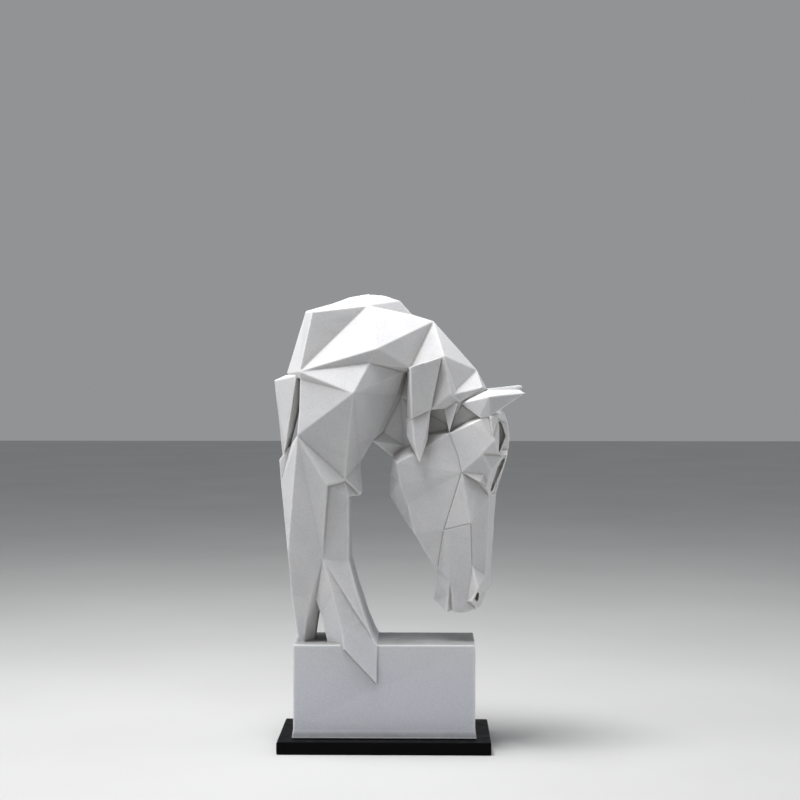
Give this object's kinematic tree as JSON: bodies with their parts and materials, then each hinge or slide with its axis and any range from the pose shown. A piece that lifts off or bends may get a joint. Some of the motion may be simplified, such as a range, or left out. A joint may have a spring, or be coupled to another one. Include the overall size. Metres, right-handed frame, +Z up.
{
  "type": "geometric horse head statue",
  "caption": "Faceted horse head statue with arched neck and shard-like legs on a rectangular block, standing on a thin dark base plate.",
  "frame": {"origin": "centre of the base plate's underside", "axes": "+Z up; +X the way the horse's nose and ears point; -Y the side that faces the viewer, towards which the head turns a little"},
  "size_m": [0.221, 0.0982, 0.4003],
  "materials": {
    "pale_cast": "matt cast stone and resin, pale grey with a fine sandy speckle",
    "black_plate": "near-black satin"
  },
  "bodies": {
    "root": {"horse_cast": "pale_cast", "base_plate": "black_plate"}
  },
  "joints": []
}
